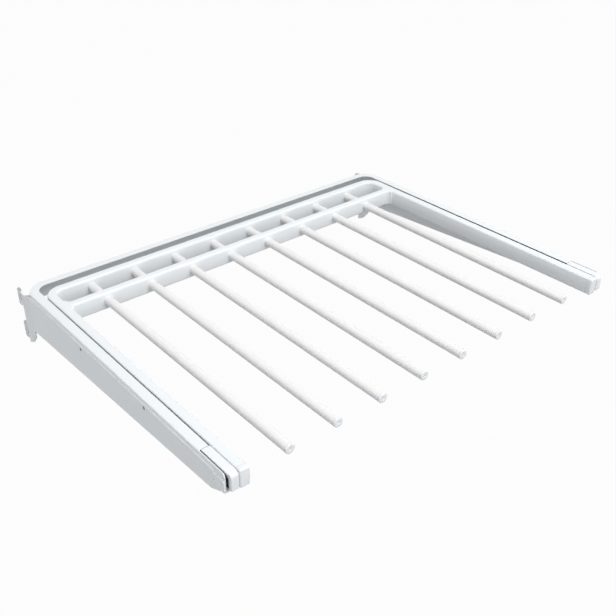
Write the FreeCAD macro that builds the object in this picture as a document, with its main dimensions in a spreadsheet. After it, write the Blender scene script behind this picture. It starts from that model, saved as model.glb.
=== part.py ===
import FreeCAD, Part
import math
import os
import Sketcher

# Pull out trouser rack for a wardrobe, in millimetres.
# X runs across the rack, the rack pulls out along -Y and +Z is up. The origin lies on the front face of
# the two slotted wall standards, midway between them and level with the top of the rim.

SIZES = (
    # fixed outer frame: an angle section bent to a U, with a tapering plate on the outside of each arm
    ("overall_width", 607),      # over the side brackets
    ("standoff", 13.3),          # from the standards to the rim's rear face
    ("rim_depth", 451.7),        # from the rim's rear face to its front ends
    ("rim_sheet", 1.2),
    ("rim_wall_height", 22.5),
    ("rim_edge_radius", 2.2),
    ("rim_corner_radius", 28),
    ("flange_width", 12.2),      # from the wall's outer face to the flange's inner edge
    ("front_cut_length", 44),    # the flange is cut away over the fronts of the slides
    ("front_cut_radius", 1.5),
    ("front_nose_radius", 6),
    ("bracket_sheet", 1.3),
    ("bracket_ledge", 5.9),      # from the rim's top to the plate's upper edge
    ("bracket_step", 9.5),       # the same in front of the step
    ("bracket_step_setback", 17.6),
    ("bracket_rear_height", 57.5),
    ("bracket_rear_setback", 18.2),
    ("bracket_front_height", 33.5),
    ("bracket_taper_setback", 38),
    ("bracket_chin_height", 32.5),
    ("bracket_chin_setback", 22.6),
    ("bracket_nose_height", 24.5),
    ("bracket_nose_setback", 5),
    ("nose_tab_reach", 10.5),
    # hook plates
    ("hook_sheet", 2),
    ("hook_inset", 1.2),         # from the bracket's inner face to the hooks' outer faces
    ("hook_pitch", 50.8),
    ("hook_top", 10),
    ("hook_reach", 12),
    ("hook_neck", 13),
    ("hook_height", 26),
    ("hook_chamfer", 4),
    ("hook_tip_chamfer", 2),
    ("hook_notch", 2.4),
    ("plate_dip", 6.5),
    ("plate_dip_setback", 6),
    ("plate_tip", 92),
    ("plate_heel_setback", 12),
    ("plate_heel", 86),
    ("plate_knee_setback", 23.5),
    ("plate_knee", 73),
    ("plate_step", 64.5),
    ("plate_front_height", 55),
    ("leaf_setback", 14.2),      # beside the rim's corner the plate starts behind it
    ("lap_length", 28),
    ("lap_root", 7),
    ("lap_top", 24),
    ("lap_bottom", 52),
    # pull-out frame
    ("side_gap", 1.2),
    ("rear_trough", 11.5),
    ("tube_width", 13),
    ("tube_height", 23),
    ("tube_wall", 1.2),
    ("tube_edge_radius", 3),
    ("tube_bend_radius", 25),
    ("arm_setback", 2.5),        # the arm tubes end this far behind the rim's front ends
    ("bay_depth", 33.5),
    ("bar_width", 12),
    ("bar_foot", 2.4),           # thickness of the flared ends where they meet the arms
    ("bar_flare", 5),
    ("bar_edge_radius", 2.2),
    ("rod_count", 8),
    ("rod_pitch", 64),
    ("rod_radius", 6),
    ("rod_wall", 1.2),
    ("rod_reach", 371),          # from the cross bar's front face to the rods' tips
    ("rod_seat_depth", 8),
    ("rod_clearance", 0.05),
    ("cap_head", 2.5),
    ("cap_spigot", 10),
    ("cap_edge", 0.8),
    ("cap_dimple_radius", 2.4),
    ("cap_dimple_depth", 1),
    ("plug_head", 8),
    ("plug_spigot", 15),
    ("plug_chamfer", 2),
    ("plug_clearance", 0.1),
    # ball-bearing slides
    ("slide_height", 20),
    ("slide_setback", 4),        # from the rim's front ends to the slides'
    ("slide_axis_drop", 13),     # from the rim's top to the middle of the slides
    ("slide_lap_clearance", 6.5),   # between the hook plate's lap and the slide's rear end
    ("slide_sheet", 1.1),
    ("slide_corner_radius", 2),
    ("slide_inner_radius", 0.6),
    ("ball_radius", 1.6),
    ("ball_clearance", 0.05),
    ("race_corner_radius", 1.4),
    ("race_lip_cover", 0.55),
    ("cage_sheet", 0.5),
    ("cage_standoff", 2.3),      # from the channel's web to the cage
    ("cage_clearance", 0.3),
    ("cage_length", 90),
    ("cage_edge_clearance", 0.1),
    ("cage_end", 10),            # from a cage's end to its nearest ball
    ("pocket_clearance", 0.1),
    ("ball_count", 6),
    ("stop_clearance", 1.4),
    ("stop_half_height", 3),
    ("stop_reach", 3.1),
    # fixings
    ("rivet_count", 3),
    ("rivet_rear_inset", 99),    # from the slide's rear end to the first rivet
    ("rivet_front_inset", 14),
    ("rivet_drop", 16),
    ("rivet_radius", 1.8),
    ("rivet_recess", 0.3),
    ("rivet_clearance", 0.05),
    ("screw_count", 2),
    ("screw_rear_inset", 46),
    ("screw_front_inset", 69),
    ("screw_radius", 1.5),
    ("screw_length", 7),
    ("screw_head_radius", 2.9),
    ("screw_head_height", 1.6),
    ("screw_clearance", 0.05),
    # slide caps, each with a cover that fills the cut in the rim's flange, and their buffers
    ("cap_plate", 4.5),
    ("cap_height", 21),
    ("cap_cover", 2),
    ("cap_upper_lip", 4.2),
    ("cap_lower_lip", 1.2),
    ("cap_inset", 2.6),
    ("cap_side_clearance", 0.8),
    ("cap_rear_clearance", 0.3),
    ("cap_end_clearance", 0.8),
    ("cap_nose_radius", 5),
    ("cap_tenon_length", 11),
    ("cap_tenon_clearance", 0.3),
    ("buffer_side_clearance", 0.2),
    ("buffer_rear_clearance", 0.2),
)

doc = FreeCAD.newDocument("trouser_rack")
sheet = doc.addObject("Spreadsheet::Sheet", "sizes")


class Size:
    # a number together with the sheet expression that gives it
    def __init__(self, number, text):
        self.number = number
        self.text = text

    def __add__(self, other):
        return combine(self, "+", other)

    def __radd__(self, other):
        return combine(other, "+", self)

    def __sub__(self, other):
        return combine(self, "-", other)

    def __rsub__(self, other):
        return combine(other, "-", self)

    def __mul__(self, other):
        return combine(self, "*", other)

    def __rmul__(self, other):
        return combine(other, "*", self)

    def __truediv__(self, other):
        return combine(self, "/", other)

    def __neg__(self):
        return combine(0, "-", self)


def as_size(value):
    return value if isinstance(value, Size) else Size(float(value), repr(value))


OPERATIONS = {
    "+": lambda a, b: a + b,
    "-": lambda a, b: a - b,
    "*": lambda a, b: a * b,
    "/": lambda a, b: a / b,
}


def combine(left, sign, right):
    left = as_size(left)
    right = as_size(right)
    number = OPERATIONS[sign](left.number, right.number)
    return Size(number, f"({left.text} {sign} {right.text})")


class Sizes:
    # one attribute for each alias of the sheet
    def __init__(self, rows):
        for row, (alias, number) in enumerate(rows, 1):
            sheet.set(f"A{row}", str(number))
            sheet.setAlias(f"A{row}", alias)
            setattr(self, alias, Size(float(number), f"sizes.{alias}"))


s = Sizes(SIZES)
doc.recompute()

SIDES = ((-1, "left"), (1, "right"))

# places worked out from the sizes
half_width = s.overall_width / 2
rim_rear = -s.standoff
rim_front = rim_rear - s.rim_depth
rim_outer = half_width - s.bracket_sheet
wall_inner = rim_outer - s.rim_sheet
flange_inner = rim_outer - s.flange_width
cut_end = rim_front + s.front_cut_length
bracket_rear = rim_rear - s.bracket_rear_setback
hook_outer = rim_outer - s.hook_inset

arm_outer = flange_inner - s.side_gap
arm_inner = arm_outer - s.tube_width
arm_front = rim_front + s.arm_setback
tube_rear = rim_rear - s.flange_width - s.rear_trough
tube_face = tube_rear - s.tube_width
bend_x = arm_outer - s.tube_bend_radius
bend_y = tube_rear - s.tube_bend_radius
bar_back = tube_face - s.bay_depth
bar_face = bar_back - s.bar_width
plug_face = arm_front - s.plug_head
rod_drop = s.tube_height / 2
rod_tip = bar_face - s.rod_reach
first_rod = -(s.rod_count - 1) / 2 * s.rod_pitch

slide_front = rim_front + s.slide_setback
slide_rear = bracket_rear - s.lap_length - s.slide_lap_clearance
slide_length = slide_rear - slide_front
slide_middle = -s.slide_axis_drop
slide_depth = wall_inner - arm_outer
race_radius = s.ball_radius + s.ball_clearance
cage_u = s.slide_sheet + s.cage_standoff
rail_lip_u = cage_u + s.cage_sheet + s.cage_clearance
ball_u = rail_lip_u + s.slide_sheet + race_radius
channel_lip_u = ball_u + race_radius
rail_web_u = slide_depth - s.slide_sheet
ball_w = s.slide_height / 2 - s.slide_sheet - race_radius
lip_w = ball_w - s.race_lip_cover
rail_w = ball_w - race_radius
stop_room = s.slide_sheet + s.stop_clearance
travel = slide_length - s.cage_length - stop_room * 2
cage_rear = slide_rear - stop_room - travel / 2
first_ball = cage_rear - s.cage_end
ball_pitch = (s.cage_length - s.cage_end * 2) / (s.ball_count - 1)
rivet_place = slide_rear - s.rivet_rear_inset
rivet_pitch = (slide_length - s.rivet_rear_inset - s.rivet_front_inset) / (s.rivet_count - 1)
screw_place = slide_rear - s.screw_rear_inset
screw_pitch = (slide_length - s.screw_rear_inset - s.screw_front_inset) / (s.screw_count - 1)

cap_back = plug_face + s.cap_plate
cap_outer = wall_inner - s.cap_inset
cap_inner = arm_outer + s.cap_side_clearance
upper_lip_end = -s.cap_cover - s.cap_upper_lip
lower_lip_end = -s.cap_height + s.cap_lower_lip


def body_named(label):
    body = doc.addObject("PartDesign::Body", label)
    body.Label = label
    return body


def bind(item, place, value):
    item.setExpression(place, as_size(value).text)


def sketch_on(body, role, offset=0, along=0, up=0):
    # a sketch on an origin plane of its body, moved along the plane's normal and within the plane
    sketch = body.newObject("Sketcher::SketchObject", f"{body.Label}_sketch")
    plane = next(item for item in body.Origin.OriginFeatures if item.Role == role)
    sketch.AttachmentSupport = [(plane, "")]
    sketch.MapMode = "FlatFace"
    bind(sketch, "AttachmentOffset.Base.x", along)
    bind(sketch, "AttachmentOffset.Base.y", up)
    bind(sketch, "AttachmentOffset.Base.z", offset)
    return sketch


def constrain(sketch, size, *items):
    index = sketch.addConstraint(Sketcher.Constraint(*items, size.number))
    sketch.setExpression(f"Constraints[{index}]", size.text)


def straight(first, second, axis):
    return abs(first[axis].number - second[axis].number) < 1e-9


def trimmed(corner, toward, radius):
    # the point where the corner's arc leaves the line that runs toward the next corner
    start = FreeCAD.Vector(corner[0].number, corner[1].number, 0)
    end = FreeCAD.Vector(toward[0].number, toward[1].number, 0)
    return start + (end - start).normalize() * radius


def outline(sketch, corners, closed=True):
    # lines from corner to corner; a corner with a third entry is rounded with that radius and lies
    # between two lines that follow the sketch's axes
    corners = [tuple(as_size(entry) for entry in corner) for corner in corners]
    count = len(corners)
    lines = count if closed else count - 1
    first = sketch.GeometryCount
    radii = [corner[2].number if len(corner) > 2 else 0 for corner in corners]
    for index in range(lines):
        here = corners[index]
        there = corners[(index + 1) % count]
        start = trimmed(here, there, radii[index])
        end = trimmed(there, here, radii[(index + 1) % count])
        line = sketch.addGeometry(Part.LineSegment(start, end))
        if straight(here, there, 0):
            sketch.addConstraint(Sketcher.Constraint("Vertical", line))
            constrain(sketch, here[0], "DistanceX", -1, 1, line, 1)
        elif straight(here, there, 1):
            sketch.addConstraint(Sketcher.Constraint("Horizontal", line))
            constrain(sketch, here[1], "DistanceY", -1, 1, line, 1)
    for index, corner in enumerate(corners):
        before = corners[index - 1] if closed or index > 0 else None
        after = corners[(index + 1) % count] if closed or index < count - 1 else None
        line_in = first + (index - 1) % count
        line_out = first + index
        if radii[index]:
            round_corner(sketch, before, corner, after, line_in, line_out)
            continue
        if before and after:
            sketch.addConstraint(Sketcher.Constraint("Coincident", line_in, 2, line_out, 1))
        line, end = (line_out, 1) if after else (line_in, 2)
        neighbours = [item for item in (before, after) if item]
        if not any(straight(corner, item, 0) for item in neighbours):
            constrain(sketch, corner[0], "DistanceX", -1, 1, line, end)
        if not any(straight(corner, item, 1) for item in neighbours):
            constrain(sketch, corner[1], "DistanceY", -1, 1, line, end)


def round_corner(sketch, before, corner, after, line_in, line_out):
    radius = corner[2]
    start = trimmed(corner, before, radius.number)
    end = trimmed(corner, after, radius.number)
    apex = FreeCAD.Vector(corner[0].number, corner[1].number, 0)
    centre = start + end - apex
    middle = centre + (apex - centre).normalize() * radius.number
    arc = sketch.addGeometry(Part.Arc(start, middle, end))
    turns_left = (start - centre).cross(end - centre).z > 0
    first, last = (1, 2) if turns_left else (2, 1)
    sketch.addConstraint(Sketcher.Constraint("Tangent", line_in, 2, arc, first))
    sketch.addConstraint(Sketcher.Constraint("Tangent", arc, last, line_out, 1))
    constrain(sketch, radius, "Radius", arc)


def circle(sketch, x, y, radius):
    x, y, radius = as_size(x), as_size(y), as_size(radius)
    centre = FreeCAD.Vector(x.number, y.number, 0)
    index = sketch.addGeometry(Part.Circle(centre, FreeCAD.Vector(0, 0, 1), radius.number))
    constrain(sketch, radius, "Radius", index)
    constrain(sketch, x, "DistanceX", -1, 1, index, 3)
    constrain(sketch, y, "DistanceY", -1, 1, index, 3)


def box_outline(x_one, x_two, y_one, y_two, radius=None):
    corners = ((x_one, y_one), (x_two, y_one), (x_two, y_two), (x_one, y_two))
    return [corner + (radius,) if radius else corner for corner in corners]


def pad(body, sketch, length, both_ways=False, backward=False):
    feature = body.newObject("PartDesign::Pad", f"{body.Label}_pad")
    feature.Profile = sketch
    feature.SideType = "Symmetric" if both_ways else "One side"
    feature.Reversed = backward
    bind(feature, "Length", length)
    doc.recompute()
    return feature


def pocket(body, sketch, depth, both_ways=False, backward=False):
    before = body.Shape.Volume
    feature = body.newObject("PartDesign::Pocket", f"{body.Label}_pocket")
    feature.Profile = sketch
    feature.SideType = "Symmetric" if both_ways else "One side"
    feature.Reversed = backward
    bind(feature, "Length", depth)
    doc.recompute()
    if body.Shape.Volume > before - 1e-6:
        raise RuntimeError(f"{feature.Name} cuts nothing")
    return feature


def turn(body, sketch, axis="H_Axis", angle=360, backward=False, kind="Revolution"):
    feature = body.newObject(f"PartDesign::{kind}", f"{body.Label}_turned")
    feature.Profile = sketch
    feature.ReferenceAxis = (sketch, [axis])
    feature.Angle = angle
    feature.Reversed = backward
    doc.recompute()
    return feature


def groove(body, sketch, axis, angle, backward=False):
    return turn(body, sketch, axis, angle, backward, "Groove")


def repeat(body, feature, sketch, axis, count, pitch, backward=False):
    pattern = body.newObject("PartDesign::LinearPattern", f"{body.Label}_row")
    pattern.Originals = [feature]
    pattern.Direction = (sketch, [axis])
    pattern.Reversed = backward
    bind(pattern, "Occurrences", count)
    bind(pattern, "Length", pitch * (count - 1))
    body.Tip = pattern
    doc.recompute()
    return pattern


def edges_where(body, test):
    return [f"Edge{number}" for number, edge in enumerate(body.Shape.Edges, 1) if test(edge)]


def bevel(body, kind, place, size, test):
    # a Fillet or Chamfer of the edges that pass the test
    base = body.Tip
    edges = edges_where(body, test)
    feature = body.newObject(f"PartDesign::{kind}", f"{body.Label}_edges")
    feature.Base = (base, edges)
    bind(feature, place, size)
    doc.recompute()
    return feature


def runs_along(edge, axis):
    # whether the edge is straight and parallel to the axis with this number
    if not isinstance(edge.Curve, Part.Line):
        return False
    step = edge.Vertexes[-1].Point - edge.Vertexes[0].Point
    return abs(abs(step[axis]) - step.Length) < 1e-6


def lies_at(edge, axis, place):
    # whether the whole edge lies in the plane across the axis at the place
    box = edge.BoundBox
    low = (box.XMin, box.YMin, box.ZMin)[axis]
    high = (box.XMax, box.YMax, box.ZMax)[axis]
    return abs(low - place.number) < 1e-4 and abs(high - place.number) < 1e-4


def sweep(body, profile, path):
    feature = body.newObject("PartDesign::AdditivePipe", f"{body.Label}_sweep")
    feature.Profile = profile
    feature.Spine = (path, [])
    doc.recompute()
    return feature


def across(side, u):
    # X of a place at the depth u from the rim's inner face toward the arm
    return side * (wall_inner - u)


def outer_frame():
    body = body_named("outer_frame")
    path = sketch_on(body, "XY_Plane")
    outline(path, (
        (-rim_outer, rim_front),
        (-rim_outer, rim_rear, s.rim_corner_radius),
        (rim_outer, rim_rear, s.rim_corner_radius),
        (rim_outer, rim_front),
    ), closed=False)
    profile = sketch_on(body, "XZ_Plane", -rim_front)
    outline(profile, (
        (-rim_outer, 0, s.rim_edge_radius),
        (-rim_outer, -s.rim_wall_height),
        (-wall_inner, -s.rim_wall_height),
        (-wall_inner, -s.rim_sheet, s.rim_edge_radius - s.rim_sheet),
        (-flange_inner, -s.rim_sheet),
        (-flange_inner, 0),
    ))
    sweep(body, profile, path)

    nose = sketch_on(body, "YZ_Plane")
    low = -s.front_nose_radius - s.rim_sheet
    behind = rim_front + s.front_nose_radius + s.rim_sheet
    outline(nose, (
        (rim_front - s.rim_sheet, s.rim_sheet),
        (rim_front - s.rim_sheet, low),
        (rim_front, low),
        (rim_front, 0, s.front_nose_radius),
        (behind, 0),
        (behind, s.rim_sheet),
    ))
    pocket(body, nose, s.overall_width, both_ways=True)

    for side, name in SIDES:
        cut = sketch_on(body, "XY_Plane")
        clear = side * (flange_inner - s.side_gap)
        outline(cut, (
            (clear, rim_front - s.side_gap),
            (side * wall_inner, rim_front - s.side_gap),
            (side * wall_inner, cut_end, s.front_cut_radius),
            (clear, cut_end),
        ))
        pocket(body, cut, s.rim_edge_radius * 2 + s.rim_sheet, both_ways=True)

        holes = sketch_on(body, "YZ_Plane", side * rim_outer)
        circle(holes, rivet_place, -s.rivet_drop, s.rivet_radius + s.rivet_clearance)
        hole = pocket(body, holes, s.rim_sheet * 3, both_ways=True)
        repeat(body, hole, holes, "H_Axis", s.rivet_count, rivet_pitch, backward=True)
    return body


def side_bracket(side, name):
    body = body_named(f"side_bracket_{name}")
    plate = sketch_on(body, "YZ_Plane", side * (half_width - s.bracket_sheet / 2))
    step = rim_front + s.bracket_step_setback
    nose = rim_front + s.bracket_nose_setback
    outline(plate, (
        (bracket_rear, -s.bracket_ledge),
        (bracket_rear, -s.bracket_rear_height),
        (rim_front + s.bracket_taper_setback, -s.bracket_front_height),
        (rim_front + s.bracket_chin_setback, -s.bracket_chin_height),
        (nose, -s.bracket_nose_height),
        (rim_front, -s.bracket_nose_height),
        (rim_front, -s.bracket_step),
        (step, -s.bracket_step),
        (step, -s.bracket_ledge),
    ))
    pad(body, plate, s.bracket_sheet, both_ways=True)

    tab = sketch_on(body, "YZ_Plane", side * (half_width - s.nose_tab_reach / 2))
    tab_top = -s.bracket_nose_height + s.bracket_sheet
    outline(tab, box_outline(rim_front, nose, -s.bracket_nose_height, tab_top))
    pad(body, tab, s.nose_tab_reach, both_ways=True)

    holes = sketch_on(body, "YZ_Plane", side * half_width)
    circle(holes, rivet_place, -s.rivet_drop, s.rivet_radius + s.rivet_clearance)
    hole = pocket(body, holes, s.bracket_sheet * 3, both_ways=True)
    repeat(body, hole, holes, "H_Axis", s.rivet_count, rivet_pitch, backward=True)
    return body


def hook_corners(top):
    # one hook, from its top round its tip and up the notch to the plate's rear edge
    tip = top - s.hook_height
    return (
        (s.hook_reach - s.hook_chamfer, top),
        (s.hook_reach, top - s.hook_chamfer),
        (s.hook_reach, tip + s.hook_tip_chamfer),
        (s.hook_reach - s.hook_tip_chamfer, tip),
        (s.hook_notch + s.hook_tip_chamfer, tip),
        (s.hook_notch, tip + s.hook_tip_chamfer),
        (s.hook_notch, top - s.hook_neck),
        (0, top - s.hook_neck),
    )


def hook_plate(side, name):
    body = body_named(f"hook_plate_{name}")
    leaf = sketch_on(body, "YZ_Plane", side * (hook_outer - s.hook_sheet / 2))
    leaf_front = rim_rear - s.leaf_setback
    upper = -s.hook_top
    lower = upper - s.hook_pitch
    outline(leaf, (
        (bracket_rear, -s.lap_top),
        (leaf_front, -s.lap_top),
        (leaf_front, -s.bracket_ledge),
        (-s.plate_dip_setback, upper - s.plate_dip),
        (s.hook_notch, upper),
        *hook_corners(upper),
        (0, lower),
        *hook_corners(lower),
        (0, -s.plate_tip),
        (-s.plate_heel_setback, -s.plate_heel),
        (-s.plate_knee_setback, -s.plate_knee),
        (-s.plate_knee_setback, -s.plate_step),
        (bracket_rear, -s.plate_front_height),
    ))
    pad(body, leaf, s.hook_sheet, both_ways=True)

    lap = sketch_on(body, "YZ_Plane", side * (rim_outer - s.hook_sheet / 2))
    lap_rear = bracket_rear + s.lap_root
    outline(lap, box_outline(bracket_rear - s.lap_length, lap_rear, -s.lap_bottom, -s.lap_top))
    pad(body, lap, s.hook_sheet, both_ways=True)
    return body


def bent_tube(body, inset, radius, straight_feature, bent_feature, backward):
    # the U of the tube, or of its hollow when it is cut with an inset: arms, rear member and two bends
    arms = sketch_on(body, "XZ_Plane", -bend_y)
    for side in (-1, 1):
        outline(arms, tube_section(side * (arm_outer - inset), side * (arm_inner + inset), inset, radius))
    straight_feature(body, arms, bend_y - arm_front, backward=backward)
    rear = sketch_on(body, "YZ_Plane")
    outline(rear, tube_section(tube_rear - inset, tube_face + inset, inset, radius))
    straight_feature(body, rear, bend_x * 2, both_ways=True)
    for side in (-1, 1):
        bend = sketch_on(body, "XZ_Plane", -bend_y, along=side * bend_x)
        outside = side * (s.tube_bend_radius - inset)
        inside = side * (s.tube_bend_radius - s.tube_width + inset)
        outline(bend, tube_section(outside, inside, inset, radius))
        bent_feature(body, bend, "V_Axis", 90, backward=side < 0)


def tube_section(one, two, inset, radius):
    return box_outline(one, two, -s.tube_height + inset, -inset, radius)


def pull_out_frame():
    body = body_named("pull_out_frame")
    bent_tube(body, as_size(0), s.tube_edge_radius, pad, turn, False)
    bent_tube(body, s.tube_wall, None, pocket, groove, True)

    seats = sketch_on(body, "XZ_Plane", -tube_face + s.tube_wall)
    circle(seats, first_rod, -rod_drop, s.rod_radius + s.rod_clearance)
    seat = pocket(body, seats, s.tube_wall * 4)
    repeat(body, seat, seats, "H_Axis", s.rod_count, s.rod_pitch)

    for side, name in SIDES:
        holes = sketch_on(body, "YZ_Plane", side * arm_outer)
        circle(holes, screw_place, slide_middle, s.screw_radius + s.screw_clearance)
        hole = pocket(body, holes, s.tube_wall * 4, both_ways=True)
        repeat(body, hole, holes, "H_Axis", s.screw_count, screw_pitch, backward=True)
    return body


def cross_bar():
    body = body_named("cross_bar")
    plan = sketch_on(body, "XY_Plane", -rod_drop)
    neck = arm_inner - s.bar_foot
    spread = s.bar_flare + s.bar_foot / 4
    outline(plan, (
        (-arm_inner, bar_back + spread),
        (-neck, bar_back + spread),
        (-neck, bar_back, s.bar_flare),
        (neck, bar_back, s.bar_flare),
        (neck, bar_back + spread),
        (arm_inner, bar_back + spread),
        (arm_inner, bar_face - spread),
        (neck, bar_face - spread),
        (neck, bar_face, s.bar_flare),
        (-neck, bar_face, s.bar_flare),
        (-neck, bar_face - spread),
        (-arm_inner, bar_face - spread),
    ))
    pad(body, plan, s.tube_height, both_ways=True)
    bevel(body, "Fillet", "Radius", s.bar_edge_radius, lambda edge: (
        abs(edge.CenterOfMass.x) < neck.number + 1e-3 and not runs_along(edge, 2)))

    hollow = sketch_on(body, "YZ_Plane")
    outline(hollow, box_outline(
        bar_back - s.tube_wall,
        bar_face + s.tube_wall,
        -s.tube_height + s.tube_wall,
        -s.tube_wall,
    ))
    pocket(body, hollow, s.overall_width, both_ways=True)

    bores = sketch_on(body, "XZ_Plane", -bar_face + s.tube_wall)
    circle(bores, first_rod, -rod_drop, s.rod_radius + s.rod_clearance)
    bore = pocket(body, bores, s.bar_width + s.tube_wall * 2)
    repeat(body, bore, bores, "H_Axis", s.rod_count, s.rod_pitch)
    return body


def rod(number):
    body = body_named(f"rod_{number}")
    start = tube_face + s.rod_seat_depth
    place = first_rod + s.rod_pitch * (number - 1)
    section = sketch_on(body, "XZ_Plane", -start)
    circle(section, place, -rod_drop, s.rod_radius)
    circle(section, place, -rod_drop, s.rod_radius - s.rod_wall)
    pad(body, section, start - rod_tip - s.cap_head)
    return body


def rod_caps():
    body = body_named("rod_caps")
    spigot = s.rod_radius - s.rod_wall - s.rod_clearance
    shoulder = rod_tip + s.cap_head
    profile = sketch_on(body, "YZ_Plane", first_rod, up=-rod_drop)
    outline(profile, (
        (rod_tip + s.cap_dimple_depth, 0),
        (rod_tip, s.cap_dimple_radius),
        (rod_tip, s.rod_radius - s.cap_edge),
        (rod_tip + s.cap_edge, s.rod_radius),
        (shoulder, s.rod_radius),
        (shoulder, spigot),
        (shoulder + s.cap_spigot, spigot),
        (shoulder + s.cap_spigot, 0),
    ))
    cap = turn(body, profile)
    repeat(body, cap, profile, "N_Axis", s.rod_count, s.rod_pitch)
    return body


def arm_plug(side, name):
    body = body_named(f"arm_plug_{name}")
    head = sketch_on(body, "XZ_Plane", -arm_front)
    outline(head, box_outline(
        side * arm_outer, side * arm_inner, -s.tube_height, 0, s.tube_edge_radius))
    pad(body, head, s.plug_head)
    bevel(body, "Chamfer", "Size", s.plug_chamfer, lambda edge: lies_at(edge, 1, plug_face))
    gap = s.tube_wall + s.plug_clearance
    spigot = sketch_on(body, "XZ_Plane", -arm_front)
    outline(spigot, box_outline(
        side * (arm_outer - gap),
        side * (arm_inner + gap),
        -s.tube_height + gap,
        -gap,
    ))
    pad(body, spigot, s.plug_spigot, backward=True)
    return body


def slide_channel(side, name):
    # outer member, riveted to the rim's wall: its flanges curl over the balls
    body = body_named(f"slide_channel_{name}")
    half = s.slide_height / 2
    lip_outer = channel_lip_u + s.slide_sheet
    top_corners = (
        (0, half, s.slide_corner_radius),
        (lip_outer, half, s.race_corner_radius + s.slide_sheet),
        (lip_outer, lip_w),
        (channel_lip_u, lip_w),
        (channel_lip_u, half - s.slide_sheet, s.race_corner_radius),
        (s.slide_sheet, half - s.slide_sheet, s.slide_inner_radius),
    )
    section = sketch_on(body, "XZ_Plane", -slide_rear)
    outline(section, slide_section(side, top_corners))
    pad(body, section, slide_length)

    tab = sketch_on(body, "XZ_Plane", -slide_front - s.slide_sheet)
    outline(tab, box_outline(
        across(side, s.slide_sheet / 2),
        across(side, s.slide_sheet + s.stop_reach),
        slide_middle - s.stop_half_height,
        slide_middle + s.stop_half_height,
    ))
    pad(body, tab, s.slide_sheet)

    holes = sketch_on(body, "YZ_Plane", side * wall_inner)
    circle(holes, rivet_place, -s.rivet_drop, s.rivet_radius + s.rivet_clearance)
    hole = pocket(body, holes, s.slide_sheet * 3, both_ways=True)
    repeat(body, hole, holes, "H_Axis", s.rivet_count, rivet_pitch, backward=True)
    return body


def slide_section(side, top_corners):
    # a section that is the same above and below the slide's middle, from its upper half
    upper = [(across(side, corner[0]), slide_middle + corner[1]) + corner[2:] for corner in top_corners]
    lower = [(across(side, corner[0]), slide_middle - corner[1]) + corner[2:] for corner in top_corners]
    return upper + lower[::-1]


def slide_rail(side, name):
    # inner member, screwed to the arm: its flanges carry the balls from below and from outside
    body = body_named(f"slide_rail_{name}")
    top_corners = (
        (slide_depth, rail_w, s.slide_inner_radius),
        (rail_lip_u + s.slide_sheet, rail_w, s.race_corner_radius),
        (rail_lip_u + s.slide_sheet, lip_w),
        (rail_lip_u, lip_w),
        (rail_lip_u, rail_w - s.slide_sheet, s.slide_corner_radius),
        (rail_web_u, rail_w - s.slide_sheet, s.slide_inner_radius),
    )
    section = sketch_on(body, "XZ_Plane", -slide_rear)
    outline(section, slide_section(side, top_corners))
    pad(body, section, slide_rear - cap_back)

    tab = sketch_on(body, "XZ_Plane", -slide_rear)
    outline(tab, box_outline(
        across(side, cage_u),
        across(side, slide_depth - s.slide_sheet / 2),
        slide_middle - s.stop_half_height,
        slide_middle + s.stop_half_height,
    ))
    pad(body, tab, s.slide_sheet)

    holes = sketch_on(body, "YZ_Plane", side * arm_outer)
    circle(holes, screw_place, slide_middle, s.screw_radius + s.screw_clearance)
    hole = pocket(body, holes, s.slide_sheet * 3, both_ways=True)
    repeat(body, hole, holes, "H_Axis", s.screw_count, screw_pitch, backward=True)
    return body


def ball_cage(side, name):
    body = body_named(f"ball_cage_{name}")
    high = ball_w + s.cage_sheet / 2
    edge = channel_lip_u - s.cage_edge_clearance
    top_corners = (
        (cage_u, high),
        (edge, high),
        (edge, high - s.cage_sheet),
        (cage_u + s.cage_sheet, high - s.cage_sheet),
    )
    section = sketch_on(body, "XZ_Plane", -cage_rear)
    outline(section, slide_section(side, top_corners))
    pad(body, section, s.cage_length)

    pockets = sketch_on(body, "XY_Plane", slide_middle)
    room = s.ball_radius + s.pocket_clearance
    outline(pockets, box_outline(
        across(side, ball_u - room), across(side, edge + room), first_ball - room, first_ball + room))
    first = pocket(body, pockets, s.slide_height, both_ways=True)
    repeat(body, first, pockets, "V_Axis", s.ball_count, ball_pitch, backward=True)
    return body


def slide_balls(side, name):
    # faceted balls, for there are many of them: eight-sided rings on the ball's surface
    body = body_named(f"slide_balls_{name}")
    wide = math.cos(math.radians(22.5))
    narrow = math.sin(math.radians(22.5))
    for row in (-1, 1):
        rings = [ring(body, side, row * ball_w + s.ball_radius * height, s.ball_radius * reach, wide, narrow)
                 for height, reach in ((-wide, narrow), (-narrow, wide), (narrow, wide), (wide, narrow))]
        ball = body.newObject("PartDesign::AdditiveLoft", f"{body.Label}_ball")
        ball.Profile = rings[0]
        ball.Sections = rings[1:]
        ball.Ruled = True
        doc.recompute()
        repeat(body, ball, rings[0], "V_Axis", s.ball_count, ball_pitch, backward=True)
    return body


def ring(body, side, height, radius, wide, narrow):
    sketch = sketch_on(body, "XY_Plane", slide_middle + height, across(side, ball_u), first_ball)
    long = radius * wide
    short = radius * narrow
    outline(sketch, (
        (long, -short), (long, short), (short, long), (-short, long),
        (-long, short), (-long, -short), (-short, -long), (short, -long),
    ))
    return sketch


def slide_rivets(side, name):
    # through bracket, rim and channel, with their heads sunk a little into the bracket
    body = body_named(f"slide_rivets_{name}")
    head = half_width - s.rivet_recess
    tail = wall_inner - s.slide_sheet
    section = sketch_on(body, "YZ_Plane", side * (head + tail) / 2)
    circle(section, rivet_place, -s.rivet_drop, s.rivet_radius)
    rivet = pad(body, section, head - tail, both_ways=True)
    repeat(body, rivet, section, "H_Axis", s.rivet_count, rivet_pitch, backward=True)
    return body


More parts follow.
